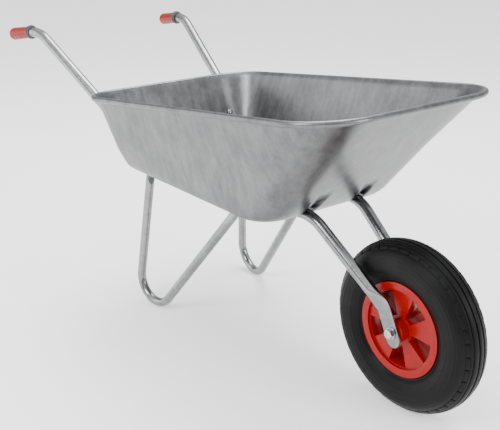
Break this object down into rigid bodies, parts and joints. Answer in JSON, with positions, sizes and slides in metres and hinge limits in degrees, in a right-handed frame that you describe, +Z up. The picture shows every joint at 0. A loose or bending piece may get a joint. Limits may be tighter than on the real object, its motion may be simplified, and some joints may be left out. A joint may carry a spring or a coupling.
{
  "type": "wheelbarrow",
  "caption": "Builder's wheelbarrow: galvanised pressed pan on a bent tube frame with V-shaped legs, red grips and a pneumatic wheel on a red plastic rim.",
  "frame": {"origin": "bottom centre of the whole barrow's box, on the ground, midway between the grip ends and the front of the tyre", "axes": "+X forwards along the barrow's length to the wheel, +Y to the left, +Z up"},
  "size_m": [1.45, 0.5218, 0.6671],
  "materials": {
    "sheet_steel": "hot-dip galvanised sheet, satin with a faint spangle and streaks",
    "tube_steel": "galvanised tube, satin to bright",
    "grip_plastic": "soft red plastic, satin",
    "tyre_rubber": "black rubber with moulded ribs",
    "tube_rubber": "black butyl rubber",
    "valve_rubber": "black rubber",
    "cap_plastic": "black plastic",
    "wheel_plastic": "glossy red moulded plastic",
    "zinc": "bright zinc-plated steel",
    "bush_plastic": "black nylon",
    "sleeve_steel": "drawn steel tube"
  },
  "bodies": {
    "chassis": {"pan": "sheet_steel", "frame_tube_left": "tube_steel", "frame_tube_right": "tube_steel", "leg_left": "tube_steel", "leg_right": "tube_steel", "grip_left": "grip_plastic", "grip_right": "grip_plastic", "axle_sleeve": "sleeve_steel", "axle_bolt": "zinc", "axle_washers": "zinc", "axle_nut": "zinc", "leg_bolts": "zinc", "leg_bolt_washers": "zinc", "leg_washers": "zinc", "leg_nuts": "zinc", "wall_bolts": "zinc", "wall_washers": "zinc", "wall_nuts": "zinc"},
    "wheel": {"tyre": "tyre_rubber", "inner_tube": "tube_rubber", "valve_stem": "valve_rubber", "valve_cap": "cap_plastic", "wheel_half_left": "wheel_plastic", "wheel_half_right": "wheel_plastic", "wheel_screws": "zinc", "wheel_bush_left": "bush_plastic", "wheel_bush_right": "bush_plastic"}
  },
  "joints": [
    {"name": "wheel_spin", "type": "hinge", "parent": "chassis", "child": "wheel", "pos_m": [0.543, 0, 0.182], "axis": [0, 1, 0], "continuous": true}
  ]
}
